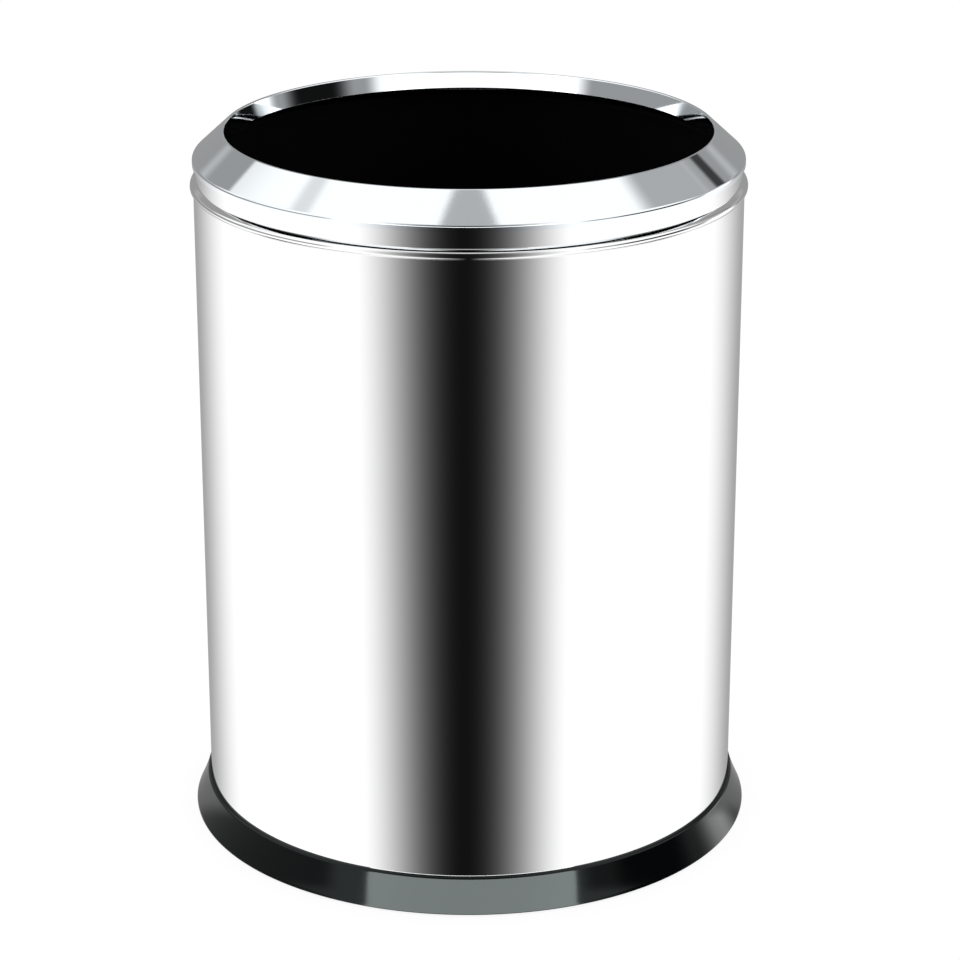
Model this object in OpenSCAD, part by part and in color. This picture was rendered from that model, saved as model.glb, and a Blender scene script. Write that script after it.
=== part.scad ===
// Open-top wastebasket: polished steel shell on a flared plastic base, with a
// lift-out liner and a bevelled ring that drops over the liner's rim.
// Origin on the floor at the centre of the base, +Z up, millimetres.

/* [Overall] */
// Outside diameter of the steel shell
shell_d = 230; // [228:1:232]
// Height from the floor to the crest of the ring
total_h = 304.4; // [240:0.1:400]
// Diameter of the mouth, measured on the crest of the ring
mouth_d = 204.8; // [200:0.1:205]

/* [Shell] */
// Thickness of the shell's steel sheet
shell_t = 0.6; // [0.4:0.1:0.8]
// Distance from the ring's crest down to the middle of the bead
bead_drop = 23; // [22.4:0.1:30]
// How far the bead stands out from the shell
bead_proud = 1.4; // [0.9:0.1:1.5]
// How far the neck above the bead is set in
neck_inset = 1.1; // [0.9:0.1:1.4]

/* [Ring] */
// Thickness of the ring's steel sheet
ring_t = 0.6; // [0.5:0.1:0.6]
// Height of the ring's bevel, from its outer edge to its crest
bevel_h = 12.1; // [11.5:0.1:13]
// Height of the upright lip below the bevel
lip_h = 1.6; // [1.2:0.1:1.8]
// Height of the wall inside the mouth
wall_h = 7; // [5:0.1:8]
// Inward lean of the wall inside the mouth, in degrees
wall_lean = 13; // [0:0.5:14]

/* [Base] */
// Outside diameter of the base at the floor
base_d = 243.4; // [241:0.1:246]
// Height of the base's top edge above the floor
base_top = 15.4; // [15:0.1:18]
// Height that the feet hold the base off the floor
foot_proud = 0.8; // [0.5:0.1:1.5]
// Number of ribs under the base
rib_count = 24; // [8:8:24]

/* [Liner] */
// Wall thickness of the liner
liner_t = 1.6; // [1.2:0.1:1.8]
// Outside diameter of the liner at its floor
liner_floor_d = 200; // [180:1:206]

/* [Hidden] */
$fn = 128;

shell_r = shell_d / 2;
body_gap = 0.3;
pair_gap = 0.1;

// Ring, from the outside in
ring_proud = 0.2;
ring_r = shell_r + ring_proud;
edge_round = 1.5;
crest_round = 0.7;
edge_z = total_h - bevel_h;
lip_z = edge_z - lip_h;
edge_center = [ring_r - edge_round, edge_z];
crest_center = [mouth_d / 2, total_h - crest_round];
bevel_run = edge_center - crest_center;
bevel_length = norm(bevel_run);
bevel_normal = atan2(bevel_run[0], -bevel_run[1])
    + asin((edge_round - crest_round) / bevel_length);
wall_normal = 180 - wall_lean;
wall_end_z = total_h - wall_h;
wall_top = on_circle(crest_center, crest_round, wall_normal);
wall_end = [wall_top[0] - (wall_top[1] - wall_end_z) * tan(wall_lean), wall_end_z];
roll_r = 0.9;

// Shell: bead, neck and inward curl
bead_z = total_h - bead_drop;
bead_round = 1.7;
bead_sweep = 60;
bead_center = [shell_r + bead_proud - bead_round, bead_z];
neck_r = shell_r - neck_inset;
curl_round = 1.5;
curl_drop = 0.3;
curl_z = lip_z - curl_drop;
curl_sweep = 200;

// Base
ledge_z = 4;
ledge_t = 2;
ledge_top = ledge_z + ledge_t;
ledge_r = 98;
collar_r = shell_r + pair_gap;
collar_t = 1.5;
top_round = 1.6;
flare_top_angle = 14;
flare_bow = 0.25;
rim_round = 0.5;
rim_t = 2.1;
wedge_z = 8;
rib_t = 1.4;
rib_bite = 0.5;
rib_recess = 1;
wedge_r = collar_r + collar_t;
wedge_land = 0.3;
flare_start = on_circle([collar_r, base_top - top_round], top_round, flare_top_angle);
flare_end = [base_d / 2, foot_proud + rim_round];

// Bottom plate
plate_t = 0.7;
plate_z = 11;
plate_r = shell_r - shell_t;
plate_bend = 1.6;
plate_step_r = 60;
plate_step = 1;

// Screws and feet
fixing_count = 4;
screw_pitch_r = 106;
screw_d = 3.4;
screw_head_d = 7;
screw_head_h = 2;
screw_head_round = 1.2;
screw_point_h = 2;
screw_slot = [4, 0.9, 1.6];
screw_tip_z = 15;
boss_d = 8;
foot_pitch_r = 106.5;
foot_turn = 180 / fixing_count;
foot_d = 16;
foot_recess = 0.4;
foot_chamfer = 0.5;

// Liner
liner_lift = 0.4;
liner_floor_z = plate_z + liner_lift;
liner_rise = 2.5;
liner_foot_w = 10;
liner_corner = 5;
liner_top_inset = 6;
liner_top_r = shell_r - liner_top_inset;
flange_z = curl_z + curl_round + body_gap;
flange_inset = 1.4;
flange_r = neck_r - flange_inset;
flange_fillet = 1.2;

// Point at an angle on a circle
function on_circle(center, radius, angle) = center + radius * [cos(angle), sin(angle)];

// Points along an arc
function arc(center, radius, from, to, steps = 8) =
    [for (i = [0 : steps]) on_circle(center, radius, from + (to - from) * i / steps)];

function flipped(list) = [for (i = [len(list) - 1 : -1 : 0]) list[i]];

function heading(path, i) = (path[i + 1] - path[i]) / norm(path[i + 1] - path[i]);

// Direction to the left of the path at a point, long enough to keep an even thickness
function miter(path, i) =
    let (before = heading(path, max(i - 1, 0)))
    let (after = heading(path, min(i, len(path) - 2)))
    let (sum = before + after)
    2 * [-sum[1], sum[0]] / (sum * sum);

// Outline of a sheet: the path is one face, and the other lies to its left
function sheet(path, thickness) =
    concat(path, flipped([for (i = [0 : len(path) - 1]) path[i] + thickness * miter(path, i)]));

// Face of the base's skirt, bowed a little outward towards the floor
function flare(steps = 6) =
    [for (i = [1 : steps])
        let (s = i / steps)
        let (bowed = s * (1 - flare_bow + flare_bow * s))
        [flare_start[0] + (flare_end[0] - flare_start[0]) * bowed,
            flare_start[1] + (flare_end[1] - flare_start[1]) * s]];

module revolve(outline) {
    rotate_extrude()
        polygon(outline);
}

module around(count, start = 0) {
    for (i = [0 : count - 1])
        rotate([0, 0, start + i * 360 / count])
            children();
}

module outer_shell() {
    bead_up = on_circle(bead_center, bead_round, bead_sweep);
    bead_down = on_circle(bead_center, bead_round, -bead_sweep);
    flank = tan(90 - bead_sweep);
    face = concat(
        [[shell_r, ledge_top]],
        [[shell_r, bead_down[1] - (bead_down[0] - shell_r) * flank]],
        arc(bead_center, bead_round, -bead_sweep, bead_sweep),
        [[neck_r, bead_up[1] + (bead_up[0] - neck_r) * flank]],
        arc([neck_r - curl_round, curl_z], curl_round, 0, curl_sweep, 12));
    color("silver")
        revolve(sheet(face, shell_t));
}

module bottom_plate() {
    face = concat(
        [[plate_r, ledge_top]],
        arc([plate_r - plate_bend, plate_z - plate_bend], plate_bend, 0, 90, 4),
        [[plate_step_r + plate_step, plate_z]],
        [[plate_step_r, plate_z + plate_step]],
        [[0, plate_z + plate_step]]);
    color("lightsteelblue")
        difference() {
            revolve(sheet(face, plate_t));
            around(fixing_count)
                translate([screw_pitch_r, 0, ledge_top])
                    cylinder(d = screw_d + pair_gap, h = plate_z);
        }
}

module base_skirt() {
    revolve(concat(
        arc([collar_r, base_top - top_round], top_round, 90, flare_top_angle, 6),
        flare(),
        arc([flare_end[0] - rim_round, flare_end[1]], rim_round, 0, -90, 4),
        [[flare_end[0] - rim_t, foot_proud]],
        [[wedge_r + wedge_land, wedge_z]],
        [[wedge_r, wedge_z]],
        [[wedge_r, ledge_z]],
        [[ledge_r, ledge_z]],
        [[ledge_r, ledge_top]],
        [[collar_r, ledge_top]]));
}

module base_rib() {
    rib_z = foot_proud + rib_recess;
    rib_r = ledge_r + rib_bite;
    top_z = wedge_z - 2 * rib_bite;
    rotate([90, 0, 0])
        translate([0, 0, -rib_t / 2])
            linear_extrude(rib_t)
                polygon([
                    [rib_r, rib_z],
                    [flare_end[0] - rim_t + rib_bite, rib_z],
                    [wedge_r + 2 * rib_bite, top_z],
                    [wedge_r - rib_bite, top_z],
                    [wedge_r - rib_bite, ledge_z + rib_bite],
                    [rib_r, ledge_z + rib_bite]]);
}

module base() {
    color("black")
        difference() {
            union() {
                base_skirt();
                around(rib_count, 180 / rib_count)
                    base_rib();
                around(fixing_count)
                    translate([screw_pitch_r, 0, ledge_z])
                        cylinder(d = boss_d, h = plate_z - plate_t - ledge_z);
            }
            around(fixing_count)
                translate([screw_pitch_r, 0, 0])
                    cylinder(d = screw_d + 4 * pair_gap, h = plate_z);
            around(fixing_count, foot_turn)
                translate([foot_pitch_r, 0, 0])
                    cylinder(d = foot_d + 2 * pair_gap, h = ledge_z + foot_recess);
        }
}

module base_screw() {
    head_z = ledge_z - screw_head_h;
    head_r = screw_head_d / 2;
    difference() {
        revolve(concat(
            [[0, head_z]],
            arc([head_r - screw_head_round, head_z + screw_head_round], screw_head_round, -90, 0, 5),
            [[head_r, ledge_z]],
            [[screw_d / 2, ledge_z]],
            [[screw_d / 2, screw_tip_z - screw_point_h]],
            [[0, screw_tip_z]]));
        for (turn = [0, 90])
            translate([0, 0, head_z])
                rotate([0, 0, turn])
                    cube(screw_slot, center = true);
    }
}

module base_screws() {
    color("gainsboro")
        around(fixing_count)
            translate([screw_pitch_r, 0, 0])
                base_screw();
}

module rubber_feet() {
    foot_r = foot_d / 2;
    color("dimgray")
        around(fixing_count, foot_turn)
            translate([foot_pitch_r, 0, 0])
                revolve([
                    [0, 0],
                    [foot_r - foot_chamfer, 0],
                    [foot_r, foot_chamfer],
                    [foot_r, ledge_z + foot_recess],
                    [0, ledge_z + foot_recess]]);
}

module inner_liner() {
    floor_r = liner_floor_d / 2;
    foot_inner_r = floor_r - liner_foot_w;
    lean = atan2(liner_top_r - floor_r, flange_z - liner_floor_z);
    fillet_center = [liner_top_r + flange_fillet, flange_z - flange_fillet];
    face = concat(
        [[0, liner_floor_z + liner_rise]],
        [[foot_inner_r - liner_rise, liner_floor_z + liner_rise]],
        [[foot_inner_r, liner_floor_z]],
        arc([floor_r - liner_corner, liner_floor_z + liner_corner], liner_corner, -90, -lean, 6),
        arc(fillet_center, flange_fillet, 180 - lean, 90, 4),
        [[flange_r, flange_z]]);
    color([0.09, 0.09, 0.1])
        revolve(sheet(face, liner_t));
}

module top_ring() {
    face = concat(
        [[ring_r, lip_z]],
        arc(edge_center, edge_round, 0, bevel_normal, 6),
        arc(crest_center, crest_round, bevel_normal, wall_normal, 10),
        [wall_end]);
    color("silver") {
        revolve(sheet(face, ring_t));
        rotate_extrude()
            translate(wall_end + [roll_r, 0])
                circle(r = roll_r, $fn = 32);
    }
}

outer_shell();
bottom_plate();
base();
base_screws();
rubber_feet();
inner_liner();
top_ring();
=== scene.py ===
"""Looks of an open-top wastebasket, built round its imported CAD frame.

Lengths are in metres. Outer radii and heights come from the boxes of the CAD nodes. What a box
can't give, such as a thickness, a rounding or an inner radius, is named below. Those are the
CAD's own values, except for BEAD_FILLET and ROLL_SWEEP, which the CAD does without.
Azimuths are in degrees: 0 is behind the camera, towards -Y, and they grow towards +X.
"""

import math

import bmesh
import bpy
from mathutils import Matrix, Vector


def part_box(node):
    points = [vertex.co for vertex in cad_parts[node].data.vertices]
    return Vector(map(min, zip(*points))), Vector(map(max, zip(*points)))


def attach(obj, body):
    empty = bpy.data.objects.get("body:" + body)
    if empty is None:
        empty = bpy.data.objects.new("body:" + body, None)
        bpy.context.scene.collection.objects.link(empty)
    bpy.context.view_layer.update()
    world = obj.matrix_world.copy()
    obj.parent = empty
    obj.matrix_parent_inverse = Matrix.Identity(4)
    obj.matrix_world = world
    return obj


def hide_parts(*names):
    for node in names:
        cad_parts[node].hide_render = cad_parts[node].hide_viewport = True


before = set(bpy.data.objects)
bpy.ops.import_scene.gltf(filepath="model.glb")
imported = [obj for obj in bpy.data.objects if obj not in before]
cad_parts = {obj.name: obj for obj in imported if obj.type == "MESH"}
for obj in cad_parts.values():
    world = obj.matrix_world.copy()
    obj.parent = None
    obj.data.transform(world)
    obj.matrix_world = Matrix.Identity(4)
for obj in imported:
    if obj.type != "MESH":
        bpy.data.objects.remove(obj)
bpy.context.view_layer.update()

MM = 0.001
SEGMENTS = 384
SHARP_TURN = math.radians(35)
ON_AXIS = MM / 100

# Shell: steel sheet, bead and curl
SHELL_SHEET = 0.6 * MM
BEAD_PROUD = 1.4 * MM
BEAD_ROUND = 1.7 * MM
BEAD_SWEEP = 60
BEAD_DROP = 23 * MM
BEAD_FILLET = 0.15 * MM
NECK_INSET = 1.1 * MM
CURL_ROUND = 1.5 * MM
CURL_SWEEP = 200

# Ring
RING_SHEET = 0.6 * MM
EDGE_ROUND = 1.5 * MM
CREST_ROUND = 0.7 * MM
CREST_R = 102.4 * MM
BEVEL_H = 12.1 * MM
WALL_LEAN = 13
WALL_H = 7 * MM
ROLL_ROUND = 0.9 * MM
ROLL_SWEEP = 300

# Base
COLLAR_GAP = 0.1 * MM
COLLAR_T = 1.5 * MM
TOP_ROUND = 1.6 * MM
FLARE_TOP_ANGLE = 14
FLARE_BOW = 0.25
FLARE_STEPS = 12
RIM_ROUND = 0.5 * MM
RIM_T = 2.1 * MM
LEDGE_Z = 4 * MM
LEDGE_T = 2 * MM
LEDGE_R = 98 * MM
WEDGE_Z = 8 * MM
WEDGE_LAND = 0.3 * MM
RIB_COUNT = 24
RIB_T = 1.4 * MM
RIB_BITE = 0.5 * MM
RIB_RECESS = 1 * MM
SCREW_COUNT = 4
SCREW_PITCH_R = 106 * MM
PLATE_STEP = 1 * MM
PLATE_T = 0.7 * MM
BOSS_R = 4 * MM
BOSS_BORE_R = 1.9 * MM
BOSS_SEGMENTS = 32

# Liner
LINER_T = 1.6 * MM
LINER_FLOOR_R = 100 * MM
LINER_FOOT_W = 10 * MM
LINER_RISE = 2.5 * MM
LINER_CORNER = 5 * MM
LINER_TOP_INSET = 6 * MM
FLANGE_FILLET = 1.2 * MM

# Camera
CAMERA_PLACE = (0.0046, -1.2786, 0.6167)
CAMERA_PITCH = 20.15
CAMERA_LENS = 118.0

# Studio: a white room that is dark behind the camera and dim at the rear. A brightness of 1
# shows as paper white in a perfect mirror.
WHITE = (1, 1, 1, 1)
DISPLAY_GAMMA = 2.2
ROOM = 1.05
GAP_MIDDLE = -2
GAP_HALF = 48
GAP = 0.1
REAR_FROM = 115
REAR_TO = 165
REAR = 0.65
# Panels in the room, each laid over the ones before it: azimuth of the middle, half of the width
# and softness of the sides, elevations of the bottom and top, softness of those, and brightness
PANELS = {
    "rear wall": (180, 48, 1, 17, 62, 3, 0.6),
    "right wall": (122, 12, 4, 17, 62, 3, 0.68),
    "dark post": (138, 2, 1, 17, 62, 2, 0.25),
    "pale post": (-107, 3, 2, 17, 62, 3, 0.9),
    "low wall": (175, 127, 5, -11, 14, 3, 0.6),
    "low dark panel": (80, 16, 7, -11, 14, 3, 0.1),
    "low lamp": (122, 10, 8, -11, 6, 3, 1.6),
    "ground behind": (180, 75, 10, -90, -42, 5, 0.4),
}
# Grey fan overhead: it opens towards the camera from a point a little in front of the zenith
FAN_POINT = 0.158
FAN_HALF = 83
FAN_SOFTNESS = 1
FAN_BOTTOM = 62
FAN_FADE = 4
FAN = 0.7
# Bright cards in front, each for one piece: distance, azimuths of the sides, heights of the
# edges above the floor, and strength
CARDS = {
    "base_skirt": (3.0, (-41, 43), (-0.2, 1.6), 9.0),
    "ring_skin": (3.4, (-55, 43), (0.75, 1.9), 1.2),
}
# Floor, and the contact shadow under the base
FLOOR_R = 8.0
FLOOR_SEGMENTS = 96
FLOOR = 1.02
SHADOW = 0.9
SHADOW_REACH = 0.03
SHADOW_SAMPLES = 16


# ---------------------------------------------------------------- outlines


def on_circle(center, radius, angle):
    """Point of an outline at an angle in degrees."""
    turn = math.radians(angle)
    return center + radius * Vector((math.cos(turn), math.sin(turn)))


def corners(*points):
    """Corners of an outline, from plain (radius, height) pairs."""
    return [Vector(point) for point in points]


def arc(center, radius, start, end, steps=12):
    """Points of an outline along an arc, between two angles in degrees."""
    return [on_circle(center, radius, start + (end - start) * i / steps) for i in range(steps + 1)]


def fillet(before, corner, after, radius, steps=6):
    """Arc that rounds the corner between two straight stretches of an outline."""
    a = (before - corner).normalized()
    b = (after - corner).normalized()
    half = a.angle(b) / 2
    center = corner + (a + b).normalized() * radius / math.sin(half)
    spokes = [corner + side * radius / math.tan(half) - center for side in (a, b)]
    turns = [spokes[0].lerp(spokes[1], i / steps).normalized() for i in range(steps + 1)]
    return [center + turn * radius for turn in turns]


def sheet(path, thickness):
    """Outline of a sheet: the path is one face, and the other lies to its left."""
    last = len(path) - 1
    back = []
    for i, point in enumerate(path):
        before = (path[max(i, 1)] - path[max(i, 1) - 1]).normalized()
        after = (path[min(i + 1, last)] - path[min(i, last - 1)]).normalized()
        total = before + after
        left = Vector((-total.y, total.x)) * 2 / total.length_squared
        back.append(point + left * thickness)
    return path + back[::-1]


# ---------------------------------------------------------------- meshes


def turn_at(outline, k):
    """Angle by which a closed outline turns at its point k."""
    before = outline[k] - outline[k - 1]
    after = outline[(k + 1) % len(outline)] - outline[k]
    return before.angle(after)


def add_lathe(mesh, outline, place=(0, 0), segments=SEGMENTS):
    """Revolves a closed outline of (radius, height) points round an upright axis."""
    x, y = place
    turns = [2 * math.pi * j / segments for j in range(segments)]
    circles = []
    for point in outline:
        if point.x < ON_AXIS:
            circles.append([mesh.verts.new((x, y, point.y))] * segments)
        else:
            ring = [(x + point.x * math.cos(t), y + point.x * math.sin(t)) for t in turns]
            circles.append([mesh.verts.new((*spot, point.y)) for spot in ring])
    for k, circle in enumerate(circles):
        above = circles[(k + 1) % len(circles)]
        for j in range(segments):
            i = (j + 1) % segments
            around = list(dict.fromkeys((circle[j], circle[i], above[i], above[j])))
            if len(around) > 2:
                mesh.faces.new(around)
    for k, circle in enumerate(circles):
        if outline[k].x > ON_AXIS and turn_at(outline, k) > SHARP_TURN:
            for j in range(segments):
                mesh.edges.get((circle[j], circle[(j + 1) % segments])).smooth = False


def add_plate(mesh, outline, thickness, angle):
    """Upright plate with a (radius, height) outline, standing along a radius."""
    turn = math.radians(angle)
    radial = Vector((math.cos(turn), math.sin(turn), 0))
    across = Vector((-math.sin(turn), math.cos(turn), 0)) * thickness / 2
    sides = []
    for side in (-across, across):
        around = [mesh.verts.new(radial * p.x + Vector((0, 0, p.y)) + side) for p in outline]
        sides.append(around)
        mesh.faces.new(around)
    for k, corner in enumerate(sides[0]):
        i = (k + 1) % len(outline)
        mesh.faces.new((corner, sides[0][i], sides[1][i], sides[1][k]))
    for corner in sides[0] + sides[1]:
        for edge in corner.link_edges:
            edge.smooth = False


def make_piece(name, mesh, material):
    """Turns a bmesh into a smooth object whose flat stretches keep their true normals."""
    bmesh.ops.recalc_face_normals(mesh, faces=mesh.faces)
    for face in mesh.faces:
        face.smooth = True
    data = bpy.data.meshes.new(name)
    mesh.to_mesh(data)
    mesh.free()
    piece = bpy.data.objects.new(name, data)
    bpy.context.scene.collection.objects.link(piece)
    piece.data.materials.append(material)
    normals = piece.modifiers.new("Normals", "WEIGHTED_NORMAL")
    normals.keep_sharp = True
    return piece


def stand_for(piece, node, body):
    """The piece rides on a body and replaces a CAD node, which is hidden."""
    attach(piece, body)
    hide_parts(node)


# ---------------------------------------------------------------- shader nodes


def add_node(tree, kind, inputs=(), **settings):
    """Adds a shader node. Inputs are (name or index, value or output socket) pairs."""
    made = tree.nodes.new("ShaderNode" + kind)
    for key, value in settings.items():
        setattr(made, key, value)
    for key, value in inputs:
        if isinstance(value, bpy.types.NodeSocket):
            tree.links.new(value, made.inputs[key])
        else:
            made.inputs[key].default_value = value
    return made


def calc(tree, operation, *values):
    """Output of a Math node."""
    return add_node(tree, "Math", enumerate(values), operation=operation).outputs[0]


def blend(tree, share, low, high):
    """Mixes two numbers or number outputs."""
    return add_node(tree, "Mix", [(0, share), (2, low), (3, high)]).outputs[0]


def rise(tree, value, start, end, low=0.0, high=1.0):
    """Smooth step from low to high as the value goes from start to end."""
    pairs = [(0, value), (1, start), (2, end), (3, low), (4, high)]
    return add_node(tree, "MapRange", pairs, interpolation_type="SMOOTHSTEP").outputs[0]


def noise(tree, scale, stretch=(1, 1, 1), detail=4.0, offset=(0, 0, 0)):
    """Noise in the object's own coordinates; scale counts its grains in a metre."""
    where = add_node(tree, "TexCoord").outputs["Object"]
    pairs = [(0, where), (1, offset), (3, stretch)]
    mapped = add_node(tree, "Mapping", pairs).outputs[0]
    grain = add_node(tree, "TexNoise", [("Vector", mapped), ("Scale", scale), ("Detail", detail)])
    return grain.outputs[0]


def bump(tree, height, distance):
    """Normal of a surface whose height varies by a distance."""
    return add_node(tree, "Bump", [("Height", height), ("Distance", distance)]).outputs[0]


def tint(tree, share, low, high):
    """Mixes two colours by a number output."""
    pairs = [(0, share), (6, (*low, 1)), (7, (*high, 1))]
    return add_node(tree, "Mix", pairs, data_type="RGBA").outputs[2]


def new_surface(name, metallic=0.0, **sockets):
    """A material with a Principled shader; keyword names are its sockets' names."""
    made = bpy.data.materials.new(name)
    made.use_nodes = True
    shader = made.node_tree.nodes["Principled BSDF"]
    shader.inputs["Metallic"].default_value = metallic
    for key, value in sockets.items():
        shader.inputs[key.replace("_", " ")].default_value = value
    return made, made.node_tree, shader


def feed(tree, shader, **sockets):
    """Links outputs to a shader; keyword names are its sockets' names."""
    for key, output in sockets.items():
        tree.links.new(output, shader.inputs[key.replace("_", " ")])


# ---------------------------------------------------------------- materials


def polished_steel(name, light, dark, inner_radius=0.0):
    """Mirror-polished stainless: fine polishing lines, faint smears and a satin inner face."""
    made, tree, shader = new_surface(name, metallic=1.0)
    lines = noise(tree, 900, stretch=(1, 1, 30), detail=2)
    smears = noise(tree, 14, stretch=(1, 1, 2.2), detail=5, offset=(3.1, 0.4, 1.7))
    sheen = blend(tree, rise(tree, smears, 0.45, 0.75), 0.028, 0.045)
    where = add_node(tree, "TexCoord").outputs["Object"]
    split = add_node(tree, "SeparateXYZ", [(0, where)])
    reach = calc(tree, "SQRT", calc(
        tree, "ADD",
        calc(tree, "POWER", split.outputs[0], 2.0),
        calc(tree, "POWER", split.outputs[1], 2.0),
    ))
    outside = calc(tree, "GREATER_THAN", reach, inner_radius)
    feed(
        tree, shader,
        Base_Color=tint(tree, smears, dark, light),
        Roughness=blend(tree, outside, 0.24, sheen),
        Normal=bump(tree, lines, 0.0006 * MM),
    )
    return made


def gloss_plastic():
    """Black ABS as moulded: a glossy skin with a little orange peel."""
    made, tree, shader = new_surface(
        "gloss_black_plastic", IOR=1.5, Specular_IOR_Level=0.27, Specular_Tint=(0.88, 1.0, 0.98, 1)
    )
    peel = noise(tree, 450, detail=2)
    flow = noise(tree, 22, stretch=(1, 1, 4), detail=4, offset=(1.3, 2.2, 0.6))
    feed(
        tree, shader,
        Base_Color=tint(tree, flow, (0.0016, 0.0020, 0.0023), (0.0026, 0.0033, 0.0037)),
        Roughness=blend(tree, flow, 0.07, 0.12),
        Normal=bump(tree, peel, 0.002 * MM),
    )
    return made


def liner_plastic():
    """Matt black polypropylene with a fine spark-eroded grain."""
    made, tree, shader = new_surface("liner_plastic", Specular_IOR_Level=0.08)
    grain = noise(tree, 2600, detail=3)
    cloud = noise(tree, 30, detail=4, offset=(0.7, 1.9, 2.8))
    feed(
        tree, shader,
        Base_Color=tint(tree, cloud, (0.0006, 0.0006, 0.0007), (0.0012, 0.0012, 0.0013)),
        Roughness=blend(tree, cloud, 0.58, 0.68),
        Normal=bump(tree, grain, 0.02 * MM),
    )
    return made


def galvanised_steel():
    """Zinc-coated sheet with its spangle."""
    made, tree, shader = new_surface("galvanised_steel", metallic=0.9)
    where = add_node(tree, "TexCoord").outputs["Object"]
    cells = add_node(tree, "TexVoronoi", [("Vector", where), ("Scale", 130.0)])
    shade = add_node(tree, "SeparateColor", [(0, cells.outputs["Color"])]).outputs[0]
    streaks = noise(tree, 160, stretch=(1, 6, 1))
    feed(
        tree, shader,
        Base_Color=tint(tree, shade, (0.42, 0.44, 0.46), (0.60, 0.62, 0.64)),
        Roughness=blend(tree, shade, 0.34, 0.5),
        Normal=bump(tree, streaks, 0.01 * MM),
    )
    return made


def zinc_plate():
    """Bright zinc of the screws, turned and slightly stained."""
    made, tree, shader = new_surface("zinc_screws", metallic=1.0)
    stain = noise(tree, 420, detail=5)
    turned = noise(tree, 300, stretch=(1, 1, 25), detail=2)
    feed(
        tree, shader,
        Base_Color=tint(tree, stain, (0.58, 0.60, 0.62), (0.74, 0.76, 0.77)),
        Roughness=blend(tree, stain, 0.22, 0.4),
        Normal=bump(tree, turned, 0.006 * MM),
    )
    return made


def foot_rubber():
    """Dark rubber, dusty and finely pitted."""
    made, tree, shader = new_surface("foot_rubber", Specular_IOR_Level=0.3)
    pits = noise(tree, 1800, detail=4)
    dust = noise(tree, 120, detail=5, offset=(4.0, 0.2, 0.9))
    feed(
        tree, shader,
        Base_Color=tint(tree, dust, (0.012, 0.012, 0.013), (0.03, 0.03, 0.03)),
        Roughness=blend(tree, dust, 0.68, 0.88),
        Normal=bump(tree, pits, 0.04 * MM),
    )
    return made


# ---------------------------------------------------------------- sub-parts

crest_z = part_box("top_ring")[1].z
shell_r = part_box("outer_shell")[1].x - BEAD_PROUD


def outer_shell():
    """Steel tube with a rolled bead, a set-in neck and an inward curl at the top."""
    low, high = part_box("outer_shell")
    neck_r = shell_r - NECK_INSET
    bead = Vector((high.x - BEAD_ROUND, crest_z - BEAD_DROP))
    flank = math.tan(math.radians(90 - BEAD_SWEEP))
    crown = arc(bead, BEAD_ROUND, -BEAD_SWEEP, BEAD_SWEEP, 16)
    foot = Vector((shell_r, low.z))
    under = Vector((shell_r, crown[0].y - (crown[0].x - shell_r) * flank))
    over = Vector((neck_r, crown[-1].y + (crown[-1].x - neck_r) * flank))
    curl = arc(Vector((neck_r - CURL_ROUND, high.z - CURL_ROUND)), CURL_ROUND, 0, CURL_SWEEP, 20)
    face = [foot]
    face += fillet(foot, under, crown[0], BEAD_FILLET)
    face += crown
    face += fillet(crown[-1], over, curl[0], BEAD_FILLET)
    face += curl
    mesh = bmesh.new()
    add_lathe(mesh, sheet(face, SHELL_SHEET))
    steel = polished_steel(
        "mirror_steel", (0.95, 0.95, 0.955), (0.93, 0.93, 0.935), neck_r - SHELL_SHEET / 2
    )
    stand_for(make_piece("shell_skin", mesh, steel), "outer_shell", "shell")


def top_ring():
    """Pressed ring: upright lip, bevel, crest and a hemmed wall inside the mouth."""
    ring_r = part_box("top_ring")[1].x
    lip_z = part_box("top_ring")[0].z
    edge = Vector((ring_r - EDGE_ROUND, crest_z - BEVEL_H))
    crest = Vector((CREST_R, crest_z - CREST_ROUND))
    run = edge - crest
    bevel_angle = math.degrees(
        math.atan2(run.x, -run.y) + math.asin((EDGE_ROUND - CREST_ROUND) / run.length)
    )
    wall_angle = 180 - WALL_LEAN
    wall_top = on_circle(crest, CREST_ROUND, wall_angle)
    wall_end_z = crest_z - WALL_H
    lean = math.tan(math.radians(WALL_LEAN))
    wall_end = Vector((wall_top.x - (wall_top.y - wall_end_z) * lean, wall_end_z))
    roll = wall_end + Vector((ROLL_ROUND, 0))
    face = [Vector((ring_r, lip_z))]
    face += arc(edge, EDGE_ROUND, 0, bevel_angle)
    face += arc(crest, CREST_ROUND, bevel_angle, wall_angle, 16)
    face += arc(roll, ROLL_ROUND, 180, 180 + ROLL_SWEEP, 24)
    mesh = bmesh.new()
    add_lathe(mesh, sheet(face, RING_SHEET))
    steel = polished_steel("ring_steel", (0.90, 0.94, 0.965), (0.88, 0.92, 0.945))
    stand_for(make_piece("ring_skin", mesh, steel), "top_ring", "ring")


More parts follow.
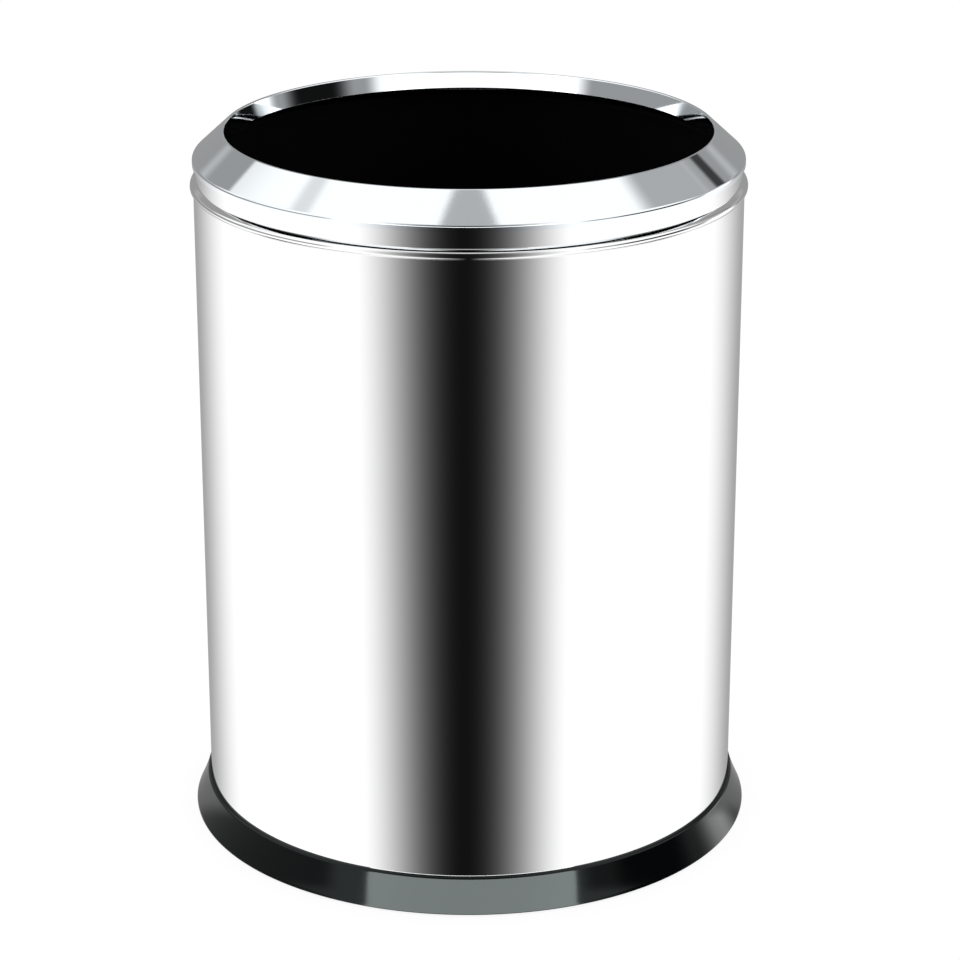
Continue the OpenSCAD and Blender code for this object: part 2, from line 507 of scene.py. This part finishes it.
def skirt_outline(low, high, collar_r):
    """Section of the moulding: round top edge, bowed flare, thin rim, and the ledge inside."""
    top = Vector((collar_r, high.z - TOP_ROUND))
    start = on_circle(top, TOP_ROUND, FLARE_TOP_ANGLE)
    end = Vector((high.x, low.z + RIM_ROUND))
    flare = []
    for i in range(1, FLARE_STEPS):
        s = i / FLARE_STEPS
        bowed = s * (1 - FLARE_BOW + FLARE_BOW * s)
        flare.append(Vector((start.x + (end.x - start.x) * bowed, start.y + (end.y - start.y) * s)))
    wedge_r = collar_r + COLLAR_T
    ledge_top = LEDGE_Z + LEDGE_T
    outline = arc(top, TOP_ROUND, 90, FLARE_TOP_ANGLE, 14) + flare
    outline += arc(end - Vector((RIM_ROUND, 0)), RIM_ROUND, 0, -90, 6)
    return outline + corners(
        (end.x - RIM_T, low.z), (wedge_r + WEDGE_LAND, WEDGE_Z), (wedge_r, WEDGE_Z),
        (wedge_r, LEDGE_Z), (LEDGE_R, LEDGE_Z), (LEDGE_R, ledge_top), (collar_r, ledge_top),
    )


def rib_outline(low, high, collar_r):
    """Rib from the ledge out to the rim, with its edges sunk into both."""
    wedge_r = collar_r + COLLAR_T
    bottom = low.z + RIB_RECESS
    top = WEDGE_Z - 2 * RIB_BITE
    return corners(
        (LEDGE_R + RIB_BITE, bottom), (high.x - RIM_T + RIB_BITE, bottom),
        (wedge_r + 2 * RIB_BITE, top), (wedge_r - RIB_BITE, top),
        (wedge_r - RIB_BITE, LEDGE_Z + RIB_BITE), (LEDGE_R + RIB_BITE, LEDGE_Z + RIB_BITE),
    )


def boss_outline():
    """Wall of a screw boss, from the ledge up to the bottom plate."""
    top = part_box("bottom_plate")[1].z - PLATE_STEP - PLATE_T
    return corners((BOSS_BORE_R, LEDGE_Z), (BOSS_R, LEDGE_Z), (BOSS_R, top), (BOSS_BORE_R, top))


def base():
    """Flared plastic skirt with a ledge, ribs and screw bosses under it."""
    low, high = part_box("base")
    collar_r = shell_r + COLLAR_GAP
    mesh = bmesh.new()
    add_lathe(mesh, skirt_outline(low, high, collar_r))
    for i in range(RIB_COUNT):
        add_plate(mesh, rib_outline(low, high, collar_r), RIB_T, (i + 0.5) * 360 / RIB_COUNT)
    for i in range(SCREW_COUNT):
        place = on_circle(Vector((0, 0)), SCREW_PITCH_R, 360 * i / SCREW_COUNT)
        add_lathe(mesh, boss_outline(), place, BOSS_SEGMENTS)
    stand_for(make_piece("base_skirt", mesh, gloss_plastic()), "base", "shell")


def inner_liner():
    """Tapered bucket with a recessed floor and an outward flange."""
    low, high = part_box("inner_liner")
    flange_z = high.z - LINER_T
    top_r = shell_r - LINER_TOP_INSET
    foot_r = LINER_FLOOR_R - LINER_FOOT_W
    lean = math.degrees(math.atan2(top_r - LINER_FLOOR_R, flange_z - low.z))
    corner = Vector((LINER_FLOOR_R - LINER_CORNER, low.z + LINER_CORNER))
    neck = Vector((top_r + FLANGE_FILLET, flange_z - FLANGE_FILLET))
    face = corners(
        (0, low.z + LINER_RISE), (foot_r - LINER_RISE, low.z + LINER_RISE), (foot_r, low.z)
    )
    face += arc(corner, LINER_CORNER, -90, -lean, 12)
    face += arc(neck, FLANGE_FILLET, 180 - lean, 90, 8)
    face += [Vector((high.x, flange_z))]
    mesh = bmesh.new()
    add_lathe(mesh, sheet(face, LINER_T))
    stand_for(make_piece("liner_bucket", mesh, liner_plastic()), "inner_liner", "liner")


def dress_cad_nodes():
    """Screws, feet and bottom plate keep their CAD shapes and get better materials."""
    finishes = {
        "bottom_plate": galvanised_steel(),
        "base_screws": zinc_plate(),
        "rubber_feet": foot_rubber(),
    }
    for node, finish in finishes.items():
        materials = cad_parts[node].data.materials
        for i in range(len(materials)):
            materials[i] = finish


# ---------------------------------------------------------------- studio


def azimuth_of(tree, x, y):
    """Azimuth in degrees of a level direction."""
    return calc(tree, "DEGREES", calc(tree, "ARCTAN2", x, calc(tree, "MULTIPLY", y, -1.0)))


def between(tree, azimuth, middle, half, softness):
    """1 within half of the middle azimuth, going round the back as well, and 0 outside."""
    offset = calc(tree, "WRAP", calc(tree, "SUBTRACT", azimuth, middle), 180.0, -180.0)
    apart = calc(tree, "ABSOLUTE", offset)
    return rise(tree, apart, half - softness, half + softness, 1, 0)


def room_light(tree, azimuth):
    """The white room with its dark gap in front and its dim rear."""
    apart = calc(tree, "ABSOLUTE", calc(tree, "SUBTRACT", azimuth, GAP_MIDDLE))
    level = rise(tree, apart, 0, GAP_HALF, GAP, ROOM)
    rear = rise(tree, calc(tree, "ABSOLUTE", azimuth), REAR_FROM, REAR_TO)
    return blend(tree, rear, level, REAR)


def with_panel(tree, level, azimuth, elevation, panel):
    """The room's brightness with one more panel laid over it."""
    middle, half, softness, bottom, top, fade, brightness = panel
    across = between(tree, azimuth, middle, half, softness)
    above = rise(tree, elevation, bottom - fade, bottom + fade)
    below = rise(tree, elevation, top - fade, top + fade, 1, 0)
    share = calc(tree, "MULTIPLY", across, calc(tree, "MULTIPLY", above, below))
    return blend(tree, share, level, brightness)


def with_fan(tree, level, ray, elevation):
    """The room's brightness with its white ceiling and the grey fan on that."""
    x, y, z = ray
    fanned = azimuth_of(tree, x, calc(tree, "MULTIPLY_ADD", z, FAN_POINT, y))
    overhead = rise(tree, elevation, FAN_BOTTOM - FAN_FADE, FAN_BOTTOM + FAN_FADE)
    share = calc(tree, "MULTIPLY", overhead, between(tree, fanned, 0, FAN_HALF, FAN_SOFTNESS))
    ceiling = blend(tree, overhead, level, ROOM)
    return blend(tree, share, ceiling, FAN)


def studio_light():
    """World that is plain white for the camera, and a soft studio for everything else."""
    world = bpy.data.worlds.new("studio")
    bpy.context.scene.world = world
    world.use_nodes = True
    tree = world.node_tree
    tree.nodes.clear()
    where = add_node(tree, "TexCoord").outputs["Generated"]
    ray = add_node(tree, "SeparateXYZ", [(0, where)]).outputs
    azimuth = azimuth_of(tree, ray[0], ray[1])
    elevation = calc(tree, "DEGREES", calc(tree, "ARCSINE", ray[2]))
    level = room_light(tree, azimuth)
    for panel in PANELS.values():
        level = with_panel(tree, level, azimuth, elevation, panel)
    glow = calc(tree, "POWER", with_fan(tree, level, ray, elevation), DISPLAY_GAMMA)
    lights = add_node(tree, "Background", [("Color", WHITE), ("Strength", glow)]).outputs[0]
    paper = add_node(tree, "Background", [("Color", WHITE), ("Strength", 1.0)]).outputs[0]
    seen = add_node(tree, "LightPath").outputs["Is Camera Ray"]
    both = add_node(tree, "MixShader", [(0, seen), (1, lights), (2, paper)]).outputs[0]
    add_node(tree, "OutputWorld", [(0, both)])


def studio_floor():
    """White floor with a soft contact shadow; polished surfaces reflect the studio instead."""
    mesh = bmesh.new()
    bmesh.ops.create_circle(mesh, cap_ends=True, segments=FLOOR_SEGMENTS, radius=FLOOR_R)
    floor = make_piece("studio_floor", mesh, floor_paint())
    floor.visible_glossy = False


def floor_paint():
    """White that darkens a little where something stands close above it."""
    made = bpy.data.materials.new("floor_paint")
    made.use_nodes = True
    tree = made.node_tree
    tree.nodes.clear()
    reach = [("Distance", SHADOW_REACH)]
    openness = add_node(tree, "AmbientOcclusion", reach, samples=SHADOW_SAMPLES).outputs["AO"]
    light = blend(tree, openness, SHADOW, FLOOR)
    glow = add_node(tree, "Emission", [("Color", WHITE), ("Strength", light)])
    add_node(tree, "OutputMaterial", [(0, glow.outputs[0])])
    return made


def studio_card(lit_name, distance, sides, edges, strength):
    """Bright curved card in front, which lights only one piece."""
    mesh = bmesh.new()
    columns = []
    for turn in range(sides[0], sides[1] + 1):
        x = distance * math.sin(math.radians(turn))
        y = -distance * math.cos(math.radians(turn))
        columns.append([mesh.verts.new((x, y, z)) for z in edges])
    for before, after in zip(columns, columns[1:]):
        mesh.faces.new((before[0], after[0], after[1], before[1]))
    card = make_piece("card_for_" + lit_name, mesh, card_glow(strength))
    lit = bpy.data.collections.new("lit_" + lit_name)
    lit.objects.link(bpy.data.objects[lit_name])
    card.light_linking.receiver_collection = lit
    card.visible_camera = False
    card.visible_diffuse = False
    card.visible_shadow = False
    card.visible_transmission = False


def card_glow(strength):
    """Light that adds to what lies behind it."""
    made = bpy.data.materials.new("card_glow")
    made.use_nodes = True
    tree = made.node_tree
    tree.nodes.clear()
    glow = add_node(tree, "Emission", [("Color", WHITE), ("Strength", strength)])
    clear = add_node(tree, "BsdfTransparent")
    both = add_node(tree, "AddShader", [(0, glow.outputs[0]), (1, clear.outputs[0])])
    add_node(tree, "OutputMaterial", [(0, both.outputs[0])])
    return made


def studio_camera():
    """Camera in front of the bin, level from side to side and looking down on it."""
    camera = bpy.data.objects.new("camera", bpy.data.cameras.new("camera"))
    bpy.context.scene.collection.objects.link(camera)
    camera.location = CAMERA_PLACE
    camera.rotation_euler = (math.radians(90 - CAMERA_PITCH), 0, 0)
    camera.data.lens = CAMERA_LENS
    bpy.context.scene.camera = camera


outer_shell()
top_ring()
base()
inner_liner()
dress_cad_nodes()
studio_light()
studio_floor()
for lit_name, card in CARDS.items():
    studio_card(lit_name, *card)
studio_camera()
bpy.context.scene.view_settings.view_transform = "Standard"
